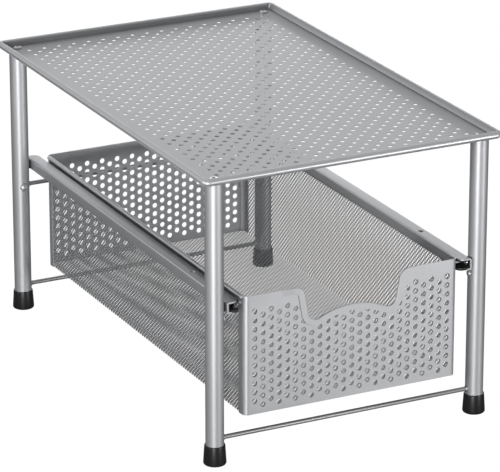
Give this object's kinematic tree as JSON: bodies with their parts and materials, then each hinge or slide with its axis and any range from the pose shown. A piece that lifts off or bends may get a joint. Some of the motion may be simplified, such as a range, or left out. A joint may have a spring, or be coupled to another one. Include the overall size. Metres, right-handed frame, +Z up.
{
  "type": "under sink organizer",
  "caption": "Free-standing silver metal organizer: a perforated shelf on tube legs over a pull-out mesh drawer with a scooped front, which slides in side rails.",
  "frame": {"origin": "on the floor, in the middle of the overall width and depth", "axes": "+Z up, the drawer's front faces -Y, X across the width"},
  "size_m": [0.286, 0.439, 0.2615],
  "materials": {
    "frame_silver": "satin",
    "drawer_silver": "satin",
    "mesh_silver": "satin",
    "black_rubber": "matte",
    "black_plastic": "matte"
  },
  "bodies": {
    "frame": {"leg_front_left": "frame_silver", "rail_saddle_front_left": "black_plastic", "leg_front_right": "frame_silver", "rail_saddle_front_right": "black_plastic", "leg_rear_left": "frame_silver", "rail_saddle_rear_left": "black_plastic", "leg_rear_right": "frame_silver", "rail_saddle_rear_right": "black_plastic", "shelf_tray": "frame_silver", "feet": "black_rubber", "front_low_rod": "frame_silver", "rear_low_rod": "frame_silver", "rear_high_rod": "frame_silver", "rail_left": "frame_silver", "rail_liner_left": "black_plastic", "rail_right": "frame_silver", "rail_liner_right": "black_plastic"},
    "drawer": {"drawer_front": "drawer_silver", "drawer_back": "drawer_silver", "drawer_mesh_bottom": "mesh_silver", "drawer_mesh_side_left": "mesh_silver", "drawer_runner_strip_left": "drawer_silver", "drawer_runner_slide_left": "black_plastic", "drawer_mesh_side_right": "mesh_silver", "drawer_runner_strip_right": "drawer_silver", "drawer_runner_slide_right": "black_plastic"}
  },
  "joints": [
    {"name": "drawer_slide", "type": "slide", "parent": "frame", "child": "drawer", "axis": [0, -1, 0], "range_m": [-0.004, 0.295]}
  ]
}
